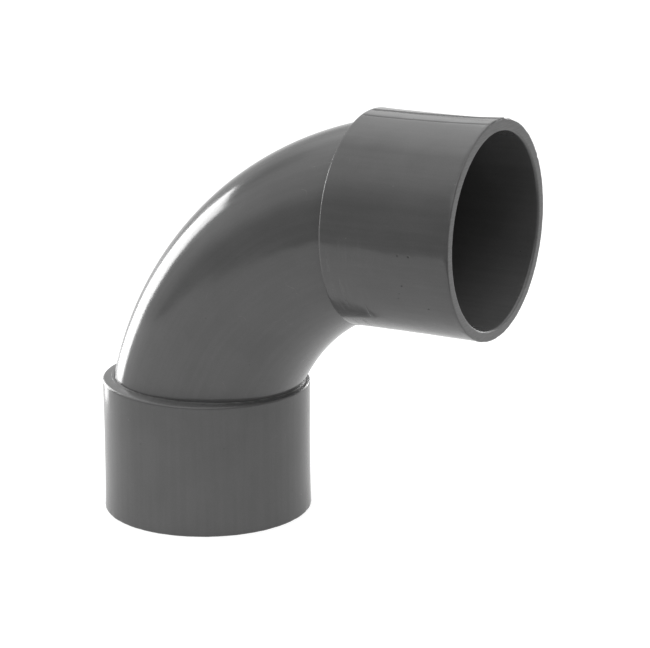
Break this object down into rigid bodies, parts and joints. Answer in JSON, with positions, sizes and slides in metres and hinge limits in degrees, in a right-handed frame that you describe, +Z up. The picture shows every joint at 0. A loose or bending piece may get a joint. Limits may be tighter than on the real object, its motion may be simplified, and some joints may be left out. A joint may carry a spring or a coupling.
{
  "type": "pvc conduit elbow",
  "caption": "Swept 90 degree grey PVC elbow that joins two 50 mm rigid conduits end to end, with a plain socket sleeve bonded on each end.",
  "frame": {"origin": "centre of the bounding box in X and Y, on the plane of the lower socket's mouth, which the elbow stands on", "axes": "+Z up along the lower socket's axis, from its mouth into the elbow; +X along the upper socket's axis and out of its mouth; Y across the elbow, which is a mirror image of itself about the Y = 0 plane"},
  "size_m": [0.1146, 0.0564, 0.1146],
  "materials": {
    "pvc_grey": "smooth moulded, semi-gloss",
    "solvent_cement": "cured film, dull"
  },
  "bodies": {
    "root": {"bend_tube": "pvc_grey", "lower_socket": "pvc_grey", "upper_socket": "pvc_grey", "lower_cement_film": "solvent_cement", "upper_cement_film": "solvent_cement"}
  },
  "joints": []
}
